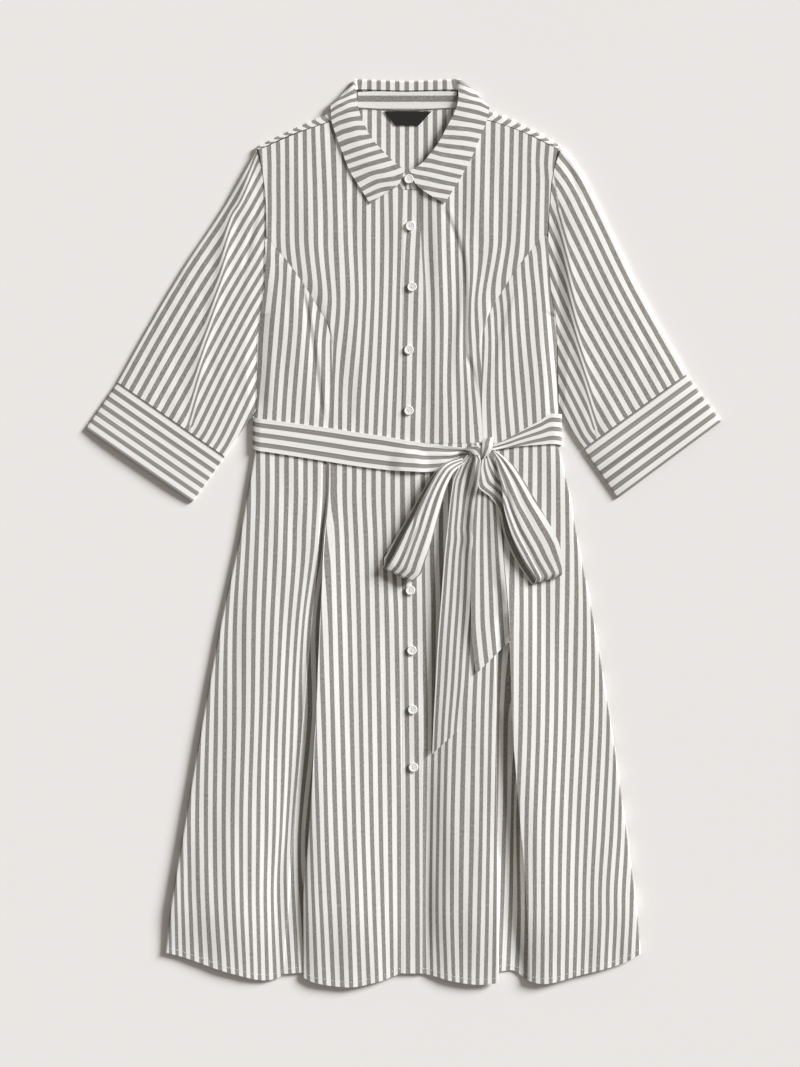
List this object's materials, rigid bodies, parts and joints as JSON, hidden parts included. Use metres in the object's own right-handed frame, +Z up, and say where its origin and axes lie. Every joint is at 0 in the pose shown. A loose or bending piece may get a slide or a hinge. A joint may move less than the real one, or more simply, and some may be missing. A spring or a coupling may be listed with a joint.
{
  "type": "shirt dress",
  "caption": "Striped cotton shirt dress laid flat, with a pointed collar, button placket, elbow sleeves with turned cuffs, flared skirt and a belt tied in a bow.",
  "frame": {"origin": "on the surface the dress lies on, under the middle of its outline", "axes": "+Z up out of the front of the dress, +Y from the hem to the collar, -X to the wearer's right"},
  "size_m": [0.838, 1.1965, 0.0196],
  "materials": {
    "striped_cotton": "matte woven cotton, grey and white stripes",
    "belt_cotton": "matte woven cotton, stripes along the belt",
    "button_plastic": "polished",
    "label_tape": "woven satin tape"
  },
  "bodies": {
    "root": {"back_bodice": "striped_cotton", "back_skirt": "striped_cotton", "front_right": "striped_cotton", "front_left": "striped_cotton", "side_front_right": "striped_cotton", "side_front_left": "striped_cotton", "skirt_front_right": "striped_cotton", "skirt_front_left": "striped_cotton", "placket": "striped_cotton", "sleeve_right": "striped_cotton", "sleeve_left": "striped_cotton", "cuff_right": "striped_cotton", "cuff_left": "striped_cotton", "collar_fall": "striped_cotton", "collar_stand_right": "striped_cotton", "collar_stand_left": "striped_cotton", "collar_stand_back": "striped_cotton", "belt": "belt_cotton", "bow_knot": "belt_cotton", "bow_loop_right": "belt_cotton", "bow_loop_left": "belt_cotton", "bow_tail_long": "belt_cotton", "bow_tail_short": "belt_cotton", "neck_label": "label_tape", "button_01": "button_plastic", "button_02": "button_plastic", "button_03": "button_plastic", "button_04": "button_plastic", "button_05": "button_plastic", "button_06": "button_plastic", "button_07": "button_plastic", "button_08": "button_plastic", "button_09": "button_plastic", "button_10": "button_plastic", "button_11": "button_plastic"}
  },
  "joints": []
}
